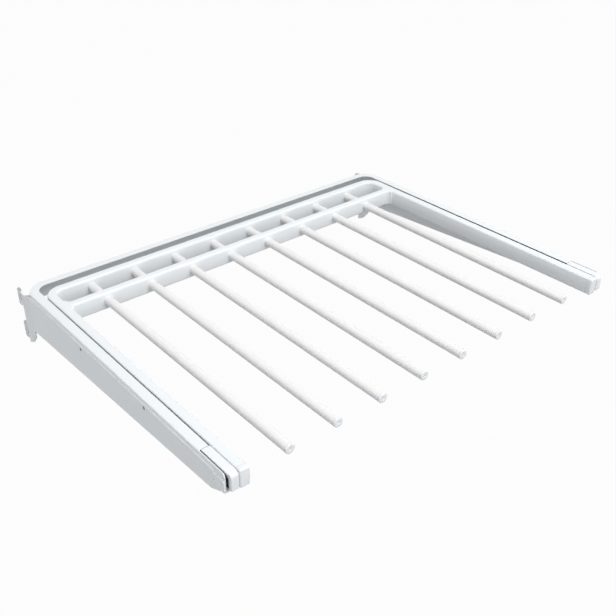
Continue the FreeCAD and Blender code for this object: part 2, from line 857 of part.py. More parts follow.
def rail_screws(side, name):
    body = body_named(f"rail_screws_{name}")
    profile = sketch_on(body, "XZ_Plane", -screw_place, up=slide_middle)
    seat = arm_outer + s.slide_sheet
    outline(profile, (
        (side * (seat - s.screw_length), 0),
        (side * (seat - s.screw_length), s.screw_radius),
        (side * seat, s.screw_radius),
        (side * seat, s.screw_head_radius),
        (side * (seat + s.screw_head_height), s.screw_head_radius),
        (side * (seat + s.screw_head_height), 0),
    ))
    screw = turn(body, profile)
    repeat(body, screw, profile, "N_Axis", s.screw_count, screw_pitch)
    return body


def slide_cap(side, name):
    # closes the slide: a cover level with the rim's top, a front plate, two lips toward the channel and
    # a tenon in the rail
    body = body_named(f"slide_cap_{name}")
    width = cap_outer - cap_inner
    middle = side * (cap_outer + cap_inner) / 2
    cover_rear = cut_end - s.cap_end_clearance
    profile = sketch_on(body, "YZ_Plane", middle)
    outline(profile, (
        (cover_rear, 0),
        (plug_face, 0, s.cap_nose_radius),
        (plug_face, -s.cap_height),
        (cap_back, -s.cap_height),
        (cap_back, -s.cap_cover),
        (cover_rear, -s.cap_cover),
    ))
    pad(body, profile, width, both_ways=True)

    cover = sketch_on(body, "XY_Plane")
    cover_outer = wall_inner - s.side_gap
    outline(cover, box_outline(side * cap_inner, side * cover_outer, cap_back, cover_rear))
    pad(body, cover, s.cap_cover, backward=True)

    lip_rear = slide_front - s.cap_rear_clearance
    for high, low in ((-s.cap_cover, upper_lip_end), (lower_lip_end, -s.cap_height)):
        lip = sketch_on(body, "YZ_Plane", middle)
        outline(lip, box_outline(cap_back, lip_rear, low, high))
        pad(body, lip, width, both_ways=True)

    tenon = sketch_on(body, "XZ_Plane", -cap_back)
    tenon_half = rail_w - s.slide_sheet - s.cap_tenon_clearance
    outline(tenon, box_outline(
        across(side, rail_lip_u + s.slide_sheet),
        across(side, rail_web_u - s.cap_tenon_clearance),
        slide_middle - tenon_half,
        slide_middle + tenon_half,
    ))
    pad(body, tenon, s.cap_tenon_length, backward=True)
    return body


def stop_buffer(side, name):
    body = body_named(f"stop_buffer_{name}")
    block = sketch_on(body, "XZ_Plane", -cap_back)
    outline(block, box_outline(
        side * cap_outer,
        across(side, rail_lip_u - s.buffer_side_clearance),
        lower_lip_end,
        upper_lip_end,
    ))
    pad(body, block, slide_front - s.buffer_rear_clearance - cap_back, backward=True)
    return body


def build():
    parts = [outer_frame(), pull_out_frame(), cross_bar(), rod_caps()]
    for side, name in SIDES:
        for make in (side_bracket, hook_plate, slide_channel, slide_rivets, slide_rail, rail_screws,
                     ball_cage, slide_balls, arm_plug, slide_cap, stop_buffer):
            parts.append(make(side, name))
    for number in range(1, int(s.rod_count.number) + 1):
        parts.append(rod(number))
    return parts


def check(parts):
    for item in doc.Objects:
        if "Invalid" in item.State or "Error" in item.State:
            raise RuntimeError(f"{item.Name} failed: {item.State}")
    for part in parts:
        if part.Shape.isNull() or not part.Shape.isValid():
            raise RuntimeError(f"{part.Label} has no valid shape")


def write(parts):
    os.makedirs("parts", exist_ok=True)
    for part in parts:
        part.Shape.exportStep(f"parts/{part.Label}.step")
        box = part.Shape.BoundBox
        print(f"{part.Label:22s} {len(part.Shape.Solids):3d} {part.Shape.Volume:10.1f} mm3 "
              f"X {box.XMin:.1f} {box.XMax:.1f} Y {box.YMin:.1f} {box.YMax:.1f} Z {box.ZMin:.1f} {box.ZMax:.1f}")


parts = build()
doc.recompute()
check(parts)
write(parts)
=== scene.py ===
import math

import bmesh
import bpy
from mathutils import Matrix, Vector


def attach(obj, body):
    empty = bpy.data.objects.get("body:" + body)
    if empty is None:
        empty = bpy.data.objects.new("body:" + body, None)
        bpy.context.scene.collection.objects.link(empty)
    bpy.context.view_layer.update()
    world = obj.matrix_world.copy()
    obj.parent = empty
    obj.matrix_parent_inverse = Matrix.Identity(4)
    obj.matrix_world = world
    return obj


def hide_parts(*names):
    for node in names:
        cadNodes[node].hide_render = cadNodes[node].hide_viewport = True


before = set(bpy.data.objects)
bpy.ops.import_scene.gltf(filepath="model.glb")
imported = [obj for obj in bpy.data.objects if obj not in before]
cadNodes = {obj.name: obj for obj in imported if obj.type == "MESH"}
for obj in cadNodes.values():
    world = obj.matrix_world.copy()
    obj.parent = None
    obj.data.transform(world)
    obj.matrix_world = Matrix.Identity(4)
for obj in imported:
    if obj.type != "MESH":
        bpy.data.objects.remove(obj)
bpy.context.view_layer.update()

print("frame loaded:", len(cadNodes), "nodes")

# Every piece is modelled in millimetres and shrunk to metres as it is finished.
millimetre = 0.001
sides = (("Left", "left", -1), ("Right", "right", 1))


class Signal:
    # an output socket; arithmetic on it adds Math nodes
    def __init__(self, finish, socket):
        self.finish = finish
        self.socket = socket

    def __add__(self, other):
        return self.finish.maths("ADD", self, other)

    def __radd__(self, other):
        return self.finish.maths("ADD", other, self)

    def __sub__(self, other):
        return self.finish.maths("SUBTRACT", self, other)

    def __rsub__(self, other):
        return self.finish.maths("SUBTRACT", other, self)

    def __mul__(self, other):
        return self.finish.maths("MULTIPLY", self, other)

    def __rmul__(self, other):
        return self.finish.maths("MULTIPLY", other, self)

    def __abs__(self):
        return self.finish.maths("ABSOLUTE", self)


class Finish:
    # the node tree of one material or world
    def __init__(self, owner):
        owner.use_nodes = True
        self.tree = owner.node_tree
        self.tree.nodes.clear()

    def add(self, kind, settings=None, inputs=None, output=0):
        node = self.tree.nodes.new("ShaderNode" + kind)
        for name, value in (settings or {}).items():
            setattr(node, name, value)
        for name, value in (inputs or {}).items():
            if isinstance(value, Signal):
                self.tree.links.new(value.socket, node.inputs[name])
            else:
                node.inputs[name].default_value = value
        return Signal(self, node.outputs[output]) if node.outputs else None

    def maths(self, operation, first, second=0.0):
        return self.add("Math", {"operation": operation}, {0: first, 1: second})

    def mix(self, factor, first, second):
        return self.add("Mix", {"data_type": "RGBA"}, {0: factor, 6: first, 7: second}, 2)

    def mixShader(self, factor, first, second):
        return self.add("MixShader", None, {0: factor, 1: first, 2: second})

    def along(self, place, axis):
        return self.add("SeparateXYZ", None, {"Vector": place}, axis)

    def noise(self, place, scale, detail, stretch=None):
        if stretch:
            place = self.add("Mapping", None, {"Vector": place, "Scale": stretch})
        return self.add("TexNoise", None, {"Vector": place, "Scale": scale, "Detail": detail})

    def ramp(self, value, low, high):
        return self.add("MapRange", {"interpolation_type": "SMOOTHSTEP"},
                        {"Value": value, "From Min": low, "From Max": high})

    def swing(self, pattern, reach):
        # a pattern as a change about nought, as wide as reach from its darkest to its lightest
        return (pattern - 0.5) * reach

    def surface(self, look, height, inputs):
        bump = self.add("Bump", None, {"Height": height, "Strength": look["bump"], "Distance": look["depth"]})
        shader = self.add("BsdfPrincipled", None, {**inputs, "Normal": bump})
        self.add("OutputMaterial", None, {"Surface": shader})


def newMaterial(name):
    material = bpy.data.materials.new(name)
    return material, Finish(material)


# In the finishes below a pattern is its scale, its detail and how it is stretched, and a span is where a ramp
# starts and ends. Names that end in Tone, Sheen and Rise say how much a pattern tints, roughens or lifts.
# Powder coat: slow drift of tone, orange peel about 2 mm across, fine grain and a few nibs.
coat = {"drift": (6.0, 3.0), "peel": (430.0, 1.5), "grain": (2400.0, 2.0), "nibs": (210.0, 0.0),
        "nibSpan": (0.74, 0.80), "streaks": (700.0, 2.0, (1.0, 0.02, 1.0)), "chips": (150.0, 5.0),
        "chipSpan": (0.66, 0.72), "grainTone": 0.25, "driftSheen": 0.12, "streakSheen": 0.10, "wear": 0.22,
        "steelSheen": 0.08, "steelShine": 0.9, "polishSheen": 0.09, "peelRise": 0.75, "grainRise": 0.12,
        "nibRise": 0.5}
powder = {
    "frameCoat": {"pale": (0.885, 0.912, 0.925, 1), "deep": (0.845, 0.878, 0.893, 1), "roughness": 0.40,
                  "bump": 0.3, "depth": 0.00008},
    "hookCoat": {"pale": (0.875, 0.902, 0.915, 1), "deep": (0.83, 0.862, 0.878, 1), "roughness": 0.44,
                 "bump": 0.3, "depth": 0.00008, "steel": (0.42, 0.43, 0.44, 1), "wearSpan": (-0.0035, 0.003)},
    "rodCoat": {"pale": (0.925, 0.915, 0.905, 1), "deep": (0.885, 0.875, 0.865, 1), "roughness": 0.40,
                "bump": 0.1, "depth": 0.00008, "polishSpan": (-0.0085, -0.0058)},
}


def powderCoat(name):
    look = powder[name]
    material, finish = newMaterial(name)
    place = finish.add("TexCoord", output="Object")
    drift = finish.noise(place, *coat["drift"])
    peel = finish.noise(place, *coat["peel"])
    grain = finish.noise(place, *coat["grain"])
    nibs = finish.ramp(finish.noise(place, *coat["nibs"]), *coat["nibSpan"])
    streaks = finish.noise(place, *coat["streaks"])
    tone = finish.mix(drift, look["pale"], look["deep"])
    tone = finish.mix(grain * coat["grainTone"], tone, look["deep"])
    roughness = (look["roughness"] + finish.swing(drift, coat["driftSheen"])
                 + finish.swing(streaks, coat["streakSheen"]))
    metal = 0.0
    if "wearSpan" in look:      # the coat is rubbed off where the hooks sit in their slots
        reach = finish.ramp(finish.along(place, "Y"), *look["wearSpan"])
        chips = finish.ramp(finish.noise(place, *coat["chips"]) + reach * coat["wear"], *coat["chipSpan"])
        tone = finish.mix(chips, tone, look["steel"])
        roughness = roughness - chips * coat["steelSheen"]
        metal = chips * coat["steelShine"]
    if "polishSpan" in look:    # cloth hangers and trousers polish the tops of the rods
        polished = finish.ramp(finish.along(place, "Z"), *look["polishSpan"])
        roughness = roughness - polished * coat["polishSheen"]
    height = peel * coat["peelRise"] + grain * coat["grainRise"] + nibs * coat["nibRise"]
    finish.surface(look, height, {"Base Color": tone, "Roughness": roughness, "Metallic": metal})
    return material


mouldings = {"pale": (0.885, 0.90, 0.91, 1), "deep": (0.85, 0.868, 0.88, 1), "roughness": 0.46, "bump": 0.12,
             "depth": 0.00006, "drift": (30.0, 3.0), "grain": (3200.0, 3.0), "flow": (120.0, 2.0, (1.0, 0.25, 1.0)),
             "driftTone": 0.6, "flowTone": 0.4, "grainSheen": 0.16, "flowSheen": 0.10}


def mouldedPlastic(name):
    material, finish = newMaterial(name)
    place = finish.add("TexCoord", output="Object")
    drift = finish.noise(place, *mouldings["drift"])
    grain = finish.noise(place, *mouldings["grain"])
    flow = finish.noise(place, *mouldings["flow"])
    tone = finish.mix(drift * mouldings["driftTone"] + flow * mouldings["flowTone"],
                      mouldings["pale"], mouldings["deep"])
    roughness = (mouldings["roughness"] + finish.swing(grain, mouldings["grainSheen"])
                 + finish.swing(flow, mouldings["flowSheen"]))
    finish.surface(mouldings, grain, {"Base Color": tone, "Roughness": roughness})
    return material


zinc = {"pale": (0.50, 0.515, 0.53, 1), "deep": (0.37, 0.385, 0.40, 1), "worn": (0.66, 0.67, 0.68, 1),
        "roughness": 0.33, "bump": 0.3, "depth": 0.00004, "rolled": (900.0, 3.0, (1.0, 0.01, 1.0)),
        "cloud": (60.0, 4.0), "crystals": 420.0, "cloudTone": 0.7, "spangleTone": 0.3, "spangleSheen": 0.10,
        "rolledSheen": 0.14, "rolledRise": 0.7, "spangleRise": 0.3, "middle": -0.013, "track": 0.00725,
        "trackSpan": (0.0004, 0.0009), "trackTone": 0.8, "trackSheen": 0.14}


def zincSteel(name, tracked):
    material, finish = newMaterial(name)
    place = finish.add("TexCoord", output="Object")
    rolled = finish.noise(place, *zinc["rolled"])
    cloud = finish.noise(place, *zinc["cloud"])
    crystals = finish.add("TexVoronoi", None, {"Vector": place, "Scale": zinc["crystals"]}, "Color")
    spangle = finish.add("SeparateColor", None, {"Color": crystals}, 0)
    tone = finish.mix(cloud * zinc["cloudTone"] + spangle * zinc["spangleTone"], zinc["pale"], zinc["deep"])
    roughness = (zinc["roughness"] + finish.swing(spangle, zinc["spangleSheen"])
                 + finish.swing(rolled, zinc["rolledSheen"]))
    if tracked:      # the balls polish a track above and below the middle of the slide
        away = abs(abs(finish.along(place, "Z") - zinc["middle"]) - zinc["track"])
        track = 1.0 - finish.ramp(away, *zinc["trackSpan"])
        tone = finish.mix(track * zinc["trackTone"], tone, zinc["worn"])
        roughness = roughness - track * zinc["trackSheen"]
    height = rolled * zinc["rolledRise"] + spangle * zinc["spangleRise"]
    finish.surface(zinc, height, {"Base Color": tone, "Roughness": roughness, "Metallic": 1.0})
    return material


bearing = {"pale": (0.78, 0.79, 0.81, 1), "deep": (0.68, 0.69, 0.71, 1), "roughness": 0.08, "bump": 0.15,
           "depth": 0.00001, "film": (700.0, 3.0), "scuffs": (4200.0, 2.0), "filmSheen": 0.10}


def bearingSteel(name):
    material, finish = newMaterial(name)
    place = finish.add("TexCoord", output="Object")
    film = finish.noise(place, *bearing["film"])
    scuffs = finish.noise(place, *bearing["scuffs"])
    tone = finish.mix(film, bearing["pale"], bearing["deep"])
    roughness = bearing["roughness"] + film * bearing["filmSheen"]
    finish.surface(bearing, scuffs, {"Base Color": tone, "Roughness": roughness, "Metallic": 1.0})
    return material


blackened = {"black": (0.028, 0.028, 0.03, 1), "bare": (0.16, 0.16, 0.165, 1), "paint": (0.865, 0.895, 0.91, 1),
             "paintSpan": (-0.38, -0.40), "roughness": 0.5, "bump": 0.4, "depth": 0.00005,
             "patches": (380.0, 4.0), "grain": (2600.0, 2.0), "bareSpan": (0.58, 0.74), "bareShine": 0.6,
             "grainSheen": 0.2, "bareSheen": 0.1, "grainRise": 0.6, "patchRise": 0.4}


def blackenedSteel(name):
    material, finish = newMaterial(name)
    place = finish.add("TexCoord", output="Object")
    patches = finish.noise(place, *blackened["patches"])
    grain = finish.noise(place, *blackened["grain"])
    rubbed = finish.ramp(patches, *blackened["bareSpan"])
    painted = finish.ramp(finish.along(place, "Y"), *blackened["paintSpan"])
    tone = finish.mix(rubbed, blackened["black"], blackened["bare"])
    tone = finish.mix(painted, tone, blackened["paint"])     # the front rivet is painted over
    metal = rubbed * (1.0 - painted) * blackened["bareShine"]
    roughness = (blackened["roughness"] + finish.swing(grain, blackened["grainSheen"])
                 - rubbed * blackened["bareSheen"])
    height = grain * blackened["grainRise"] + patches * blackened["patchRise"]
    finish.surface(blackened, height, {"Base Color": tone, "Roughness": roughness, "Metallic": metal})
    return material


rubber = {"black": (0.022, 0.022, 0.024, 1), "dusty": (0.06, 0.06, 0.062, 1), "roughness": 0.72, "bump": 0.5,
          "depth": 0.00008, "dust": (260.0, 5.0), "dustSpan": (0.45, 0.75), "grain": (2800.0, 3.0),
          "grainSheen": 0.2}


def blackRubber(name):
    material, finish = newMaterial(name)
    place = finish.add("TexCoord", output="Object")
    dust = finish.ramp(finish.noise(place, *rubber["dust"]), *rubber["dustSpan"])
    grain = finish.noise(place, *rubber["grain"])
    tone = finish.mix(dust, rubber["black"], rubber["dusty"])
    roughness = rubber["roughness"] + finish.swing(grain, rubber["grainSheen"])
    finish.surface(rubber, grain, {"Base Color": tone, "Roughness": roughness})
    return material


frameCoat = powderCoat("frameCoat")
hookCoat = powderCoat("hookCoat")
rodCoat = powderCoat("rodCoat")
whitePlastic = mouldedPlastic("whitePlastic")
plainZinc = zincSteel("plainZinc", False)
trackedZinc = zincSteel("trackedZinc", True)
ballSteel = bearingSteel("ballSteel")
blackSteel = blackenedSteel("blackSteel")
bufferRubber = blackRubber("bufferRubber")
print("materials made:", len(bpy.data.materials))


cornerSteps = 6     # facets in a rounded corner of an outline
near = 0.01         # places this close together, in millimetres, are the same place
margin = 0.1        # a place this far inside a limit is clear of it
squarely = 0.9      # how far a face's normal must lie along an axis for the face to be picked
spare = 1.0         # how far a cutter stands out past what it cuts
merging = {"doubles": 0.001, "split": 0.0005}
shading = {"sharpAngle": 38, "softAngle": 50, "softSteps": 2}


def bevelCorner(bm, vert, radius):
    bmesh.ops.bevel(bm, geom=[vert], offset=radius, offset_type="OFFSET", affect="VERTICES",
                    segments=cornerSteps, profile=0.5, material=-1)


def bevelEdges(bm, edges, radius, steps):
    bmesh.ops.bevel(bm, geom=edges, offset=radius, offset_type="OFFSET", affect="EDGES",
                    segments=steps, profile=0.5, material=-1)


def outlineFace(bm, corners, place):
    # a flat face from corners (u, v) or (u, v, radius)
    verts = [bm.verts.new(place(*corner[:2])) for corner in corners]
    bm.faces.new(verts)
    for vert, corner in zip(verts, corners):
        if len(corner) > 2:
            bevelCorner(bm, vert, corner[2])
    bm.faces.ensure_lookup_table()
    return bm.faces[-1]


def onlyFaces(parts):
    return [part for part in parts if isinstance(part, bmesh.types.BMFace)]


def shared(face):
    return any(len(edge.link_faces) > 1 for edge in face.edges)


def opened(bm, face, inner):
    # takes away a face that a run has just left inside the piece
    if inner and face.is_valid:
        bmesh.ops.delete(bm, geom=[face], context="FACES_ONLY")


def pushed(bm, face, step):
    # pulls a face out along a straight run and returns the run's end
    inner = shared(face)
    end = onlyFaces(bmesh.ops.extrude_face_region(bm, geom=[face])["geom"])[0]
    bmesh.ops.translate(bm, vec=step, verts=end.verts)
    opened(bm, face, inner)
    return end


def swung(bm, face, centre, degrees, steps):
    # pulls a face round an upright axis and returns the bend's end
    inner = shared(face)
    last = bmesh.ops.spin(bm, geom=[face], cent=centre, axis=(0, 0, 1), angle=math.radians(degrees), steps=steps)
    opened(bm, face, inner)
    return onlyFaces(last["geom_last"])[0]


def split(bm, point, normal):
    bmesh.ops.bisect_plane(bm, geom=bm.verts[:] + bm.edges[:] + bm.faces[:], dist=merging["split"],
                           plane_co=point, plane_no=normal)


def facesWhere(bm, test):
    return [face for face in bm.faces if test(face.calc_center_median(), face.normal)]


def edgesWhere(bm, test):
    return [edge for edge in bm.edges if test(edge.verts[0].co, edge.verts[1].co)]


def closed(bm):
    bmesh.ops.remove_doubles(bm, verts=bm.verts, dist=merging["doubles"])
    bmesh.ops.recalc_face_normals(bm, faces=bm.faces)
    return bm


def prism(corners, axis, low, high):
    # an outline pushed from low to high along x, y or z
    bm = bmesh.new()
    turn = {"x": lambda u, v: (low, u, v), "y": lambda u, v: (u, low, v), "z": lambda u, v: (u, v, low)}[axis]
    face = outlineFace(bm, corners, turn)
    reach = high - low
    pushed(bm, face, {"x": (reach, 0, 0), "y": (0, reach, 0), "z": (0, 0, reach)}[axis])
    return closed(bm)


def pegs(places, radius, axis, length, steps):
    # round bars at several places, for cutting holes
    bm = bmesh.new()
    turn = Matrix.Rotation(math.radians(90), 4, {"x": "Y", "y": "X"}[axis])
    for place in places:
        bmesh.ops.create_cone(bm, cap_ends=True, segments=steps, radius1=radius, radius2=radius, depth=length,
                              matrix=Matrix.Translation(place) @ turn)
    return bm


def spun(bm, points, centre, axis, steps, loop=False):
    # turns a line of points into a round form about the axis
    verts = [bm.verts.new(point) for point in points]
    edges = [bm.edges.new(pair) for pair in zip(verts, verts[1:])]
    if loop:
        edges.append(bm.edges.new((verts[-1], verts[0])))
    bmesh.ops.spin(bm, geom=verts + edges, cent=centre, axis=axis, angle=math.tau, steps=steps, use_merge=True)


def looseObject(name, bm):
    mesh = bpy.data.meshes.new(name)
    bm.to_mesh(mesh)
    bm.free()
    item = bpy.data.objects.new(name, mesh)
    bpy.context.scene.collection.objects.link(item)
    return item


def carved(bm, *tools):
    # takes the volume of each tool out of the blank
    blank = looseObject("blank", bm)
    cutters = [looseObject("cutter", tool) for tool in tools]
    for cutter in cutters:
        cut = blank.modifiers.new("cut", "BOOLEAN")
        cut.operation = "DIFFERENCE"
        cut.solver = "EXACT"
        cut.object = cutter
    depsgraph = bpy.context.evaluated_depsgraph_get()
    mesh = bpy.data.meshes.new_from_object(blank.evaluated_get(depsgraph))
    result = bmesh.new()
    result.from_mesh(mesh)
    bpy.data.meshes.remove(mesh)
    for item in (blank, *cutters):
        data = item.data
        bpy.data.objects.remove(item)
        bpy.data.meshes.remove(data)
    return result


def joined(bm, extra):
    # adds another closed form to the same piece
    mesh = bpy.data.meshes.new("extra")
    extra.to_mesh(mesh)
    extra.free()
    bm.from_mesh(mesh)
    bpy.data.meshes.remove(mesh)


def newPiece(name, bm, body, material, replaced, softness=0.0):
    # finishes a piece: metres, its material, smooth shading, a softened edge, its body, and hides the CAD nodes it
    # replaces
    bmesh.ops.scale(bm, vec=(millimetre, millimetre, millimetre), verts=bm.verts)
    piece = looseObject(name, bm)
    piece.data.materials.append(material)
    piece.data.shade_smooth()
    piece.data.set_sharp_from_angle(angle=math.radians(shading["sharpAngle"]))
    if softness:
        edge = piece.modifiers.new("softEdge", "BEVEL")
        edge.width = softness * millimetre
        edge.segments = shading["softSteps"]
        edge.limit_method = "ANGLE"
        edge.angle_limit = math.radians(shading["softAngle"])
        edge.harden_normals = True
    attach(piece, body)
    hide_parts(*replaced)
    return piece


# fixed outer frame: the angled rim, its two side plates, the hook plates and the rivets
rim = {"halfWidth": 302.2, "rear": -13.3, "front": -465.0, "sheet": 1.2, "wall": 22.5, "edgeRadius": 2.2,
       "cornerRadius": 28.0, "cornerSteps": 24, "flange": 12.0, "lipRadius": 0.9, "gap": 1.2, "cutRear": -421.0,
       "cutRadius": 1.5, "cutHeight": 2.8, "nose": 7.0, "noseRadius": 6.0, "softness": 0.18,
       "rivets": ((-174.0, -11.2), (-318.0, -10.2), (-447.0, -16.0)), "rivetHole": 2.35, "drill": 6.0,
       "drillSteps": 32}


def rivetHoles(*across):
    return pegs([(x, y, z) for x in across for y, z in rim["rivets"]], rim["rivetHole"], "x", rim["drill"],
                rim["drillSteps"])


def outerFrame():
    wide, sheet = rim["halfWidth"], rim["sheet"]
    front, rear, radius = rim["front"], rim["rear"], rim["cornerRadius"]
    wall, lip = wide - sheet, wide - rim["flange"]
    bm = bmesh.new()
    end = outlineFace(bm, (
        (-wide, 0, rim["edgeRadius"]), (-wide, -rim["wall"]), (-wall, -rim["wall"]),
        (-wall, -sheet, rim["edgeRadius"] - sheet), (-lip, -sheet, rim["lipRadius"]), (-lip, 0),
    ), lambda x, z: (x, front, z))
    end = pushed(bm, end, (0, rear - radius - front, 0))
    end = swung(bm, end, (radius - wide, rear - radius, 0), -90, rim["cornerSteps"])
    end = pushed(bm, end, ((wide - radius) * 2, 0, 0))
    end = swung(bm, end, (wide - radius, rear - radius, 0), -90, rim["cornerSteps"])
    pushed(bm, end, (0, front - rear + radius, 0))
    closed(bm)
    cutters = []
    for side in (-1, 1):
        clear = side * (lip - rim["gap"])
        cutters.append(prism(((clear, front - spare), (side * wall, front - spare),
                              (side * wall, rim["cutRear"], rim["cutRadius"]), (clear, rim["cutRear"])),
                             "z", -rim["cutHeight"], rim["cutHeight"]))
    nose = rim["nose"]
    corner = prism(((front - spare, spare), (front - spare, -nose), (front, -nose), (front, 0, rim["noseRadius"]),
                    (front + nose, 0), (front + nose, spare)), "x", -wide - spare, wide + spare)
    return carved(bm, *cutters, corner, rivetHoles(-wide, wide))


bracket = {"outer": 303.5, "inner": 302.2, "rear": -31.5, "ledge": -5.9, "rearHeight": -57.5, "taper": -427.0,
           "frontHeight": -33.5, "chin": -442.4, "chinHeight": -32.5, "nose": -460.0, "noseHeight": -24.5,
           "front": -465.0, "step": -447.4, "stepHeight": -9.5, "tabTop": -23.2, "tabReach": 293.0,
           "ledgeRadius": 0.8, "cornerRadius": 1.0, "stepRadius": 1.5, "foldRadius": 1.1, "foldSteps": 5,
           "softness": 0.2}


def sideBracket(side):
    corner, step = bracket["cornerRadius"], bracket["stepRadius"]
    bm = prism((
        (bracket["rear"], bracket["ledge"], bracket["ledgeRadius"]), (bracket["rear"], bracket["rearHeight"], corner),
        (bracket["taper"], bracket["frontHeight"]), (bracket["chin"], bracket["chinHeight"], step),
        (bracket["nose"], bracket["noseHeight"]), (bracket["front"], bracket["noseHeight"]),
        (bracket["front"], bracket["stepHeight"], corner), (bracket["step"], bracket["stepHeight"], step),
        (bracket["step"], bracket["ledge"], corner),
    ), "x", side * bracket["outer"], side * bracket["inner"])
    split(bm, (0, 0, bracket["tabTop"]), (0, 0, 1))
    split(bm, (0, bracket["nose"], 0), (0, 1, 0))
    tab = facesWhere(bm, lambda at, normal: normal.x * side < -squarely and at.y < bracket["nose"]
                     and at.z < bracket["tabTop"])
    pushed(bm, tab[0], (side * (bracket["tabReach"] - bracket["inner"]), 0, 0))
    fold = edgesWhere(bm, lambda one, two: min(one.x * side, two.x * side) > bracket["outer"] - near
                      and max(abs(one.z - bracket["noseHeight"]), abs(two.z - bracket["noseHeight"])) < near)
    bevelEdges(bm, fold, bracket["foldRadius"], bracket["foldSteps"])
    closed(bm)
    return carved(bm, rivetHoles(side * bracket["outer"]))


hooks = {"outer": 301.0, "inner": 299.0, "tops": (-10.0, -60.8), "reach": 12.0, "neck": 13.0, "height": 26.0,
         "notch": 2.4, "slope": 4.0, "tipRadius": 1.5, "footRadius": 2.0, "neckRadius": 0.7, "heelRadius": 0.8,
         "leafFront": -27.5, "leafTop": -5.9, "shoulder": (-6.0, -16.5, 2.0),
         "belly": ((0.0, -92.0, 1.0), (-12.0, -86.0, 1.5), (-23.5, -73.0, 1.5), (-23.5, -64.5, 1.5)),
         "lapRear": -24.5, "lapFront": -31.5, "lapEnd": -59.5, "lapTop": -24.0, "lapBottom": -52.0,
         "lapFoot": -55.0, "lapRadius": 2.0, "lapShift": 1.2, "lapSteps": 5, "softness": 0.3}


def hookPlate(side):
    reach, notch, foot = hooks["reach"], hooks["notch"], hooks["footRadius"]
    corners = [(hooks["leafFront"], hooks["leafTop"]), hooks["shoulder"], (notch, hooks["tops"][0])]
    for top in hooks["tops"]:
        low = top - hooks["height"]
        if top < hooks["tops"][0]:
            corners.append((0.0, top, hooks["heelRadius"]))
        corners += [(reach - hooks["slope"], top, hooks["tipRadius"]),
                    (reach, top - hooks["slope"], hooks["tipRadius"]), (reach, low, foot), (notch, low, foot),
                    (notch, top - hooks["neck"], hooks["neckRadius"]), (0.0, top - hooks["neck"])]
    corners += [*hooks["belly"], (hooks["lapFront"], hooks["lapFoot"]), (hooks["lapFront"], hooks["lapBottom"]),
                (hooks["lapEnd"], hooks["lapBottom"], hooks["lapRadius"]),
                (hooks["lapEnd"], hooks["lapTop"], hooks["lapRadius"]), (hooks["leafFront"], hooks["lapTop"])]
    bm = prism(corners, "x", side * hooks["outer"], side * hooks["inner"])
    # the lap is joggled outwards so that it lies on the bracket's inner face
    run = hooks["lapRear"] - hooks["lapFront"]
    for step in range(hooks["lapSteps"] + 1):
        split(bm, (0, hooks["lapFront"] + run * step / hooks["lapSteps"], 0), (0, 1, 0))
    for z in (hooks["lapTop"], hooks["lapBottom"]):
        split(bm, (0, 0, z), (0, 0, 1))
    for vert in bm.verts:
        if hooks["lapBottom"] - near < vert.co.z < hooks["lapTop"] + near and vert.co.y < hooks["lapRear"]:
            way = min((hooks["lapRear"] - vert.co.y) / run, 1.0)
            vert.co.x += side * hooks["lapShift"] * way * way * (3 - 2 * way)     # eased at both ends
    return closed(bm)


rivet = {"tail": 299.9, "shoulder": 302.95, "top": 303.2, "radius": 2.3, "crown": 1.8, "steps": 32}


def slideRivets(side):
    bm = bmesh.new()
    for y, z in rim["rivets"]:
        points = [(side * x, y, z + r) for x, r in (
            (rivet["tail"], 0), (rivet["tail"], rivet["radius"]), (rivet["shoulder"], rivet["radius"]),
            (rivet["top"], rivet["crown"]), (rivet["top"], 0))]
        spun(bm, points, (0, y, z), (1, 0, 0), rivet["steps"])
    return closed(bm)


newPiece("outerFrame", outerFrame(), "fixed_frame", frameCoat, ["outer_frame"], rim["softness"])
for suffix, hand, side in sides:
    newPiece("sideBracket" + suffix, sideBracket(side), "fixed_frame", frameCoat,
             ["side_bracket_" + hand], bracket["softness"])
    newPiece("hookPlate" + suffix, hookPlate(side), "fixed_frame", hookCoat,
             ["hook_plate_" + hand], hooks["softness"])
    newPiece("slideRivets" + suffix, slideRivets(side), "fixed_frame", blackSteel,
             ["slide_rivets_" + hand])
print("outer frame, brackets, hooks and rivets modelled")


# pull-out frame: the bent tube, the cross bar, the rods and everything that closes their ends
tube = {"outer": 288.2, "inner": 275.8, "height": 23.0, "wall": 1.2, "edge": 2.2, "bendX": 263.8, "bendY": -62.0,
        "bendSteps": 20, "face": -50.0, "front": -462.5, "screws": (-112.0, -392.0), "screwHeight": -13.0,
        "screwHole": 1.55, "drill": 3.0, "drillSteps": 24, "softness": 0.1}
rods = {"first": -224, "pitch": 64, "count": 8, "height": -11.5, "radius": 6.0, "wall": 1.2, "rear": -42.0,
        "front": -464.0, "steps": 48, "hole": 6.05, "holeSteps": 40}
rodPlaces = [rods["first"] + rods["pitch"] * number for number in range(rods["count"])]


def rounded(one, two, radius, low, high=0.0):
    # the four corners of an oblong tube's section
    return ((one, high, radius), (one, low, radius), (two, low, radius), (two, high, radius))


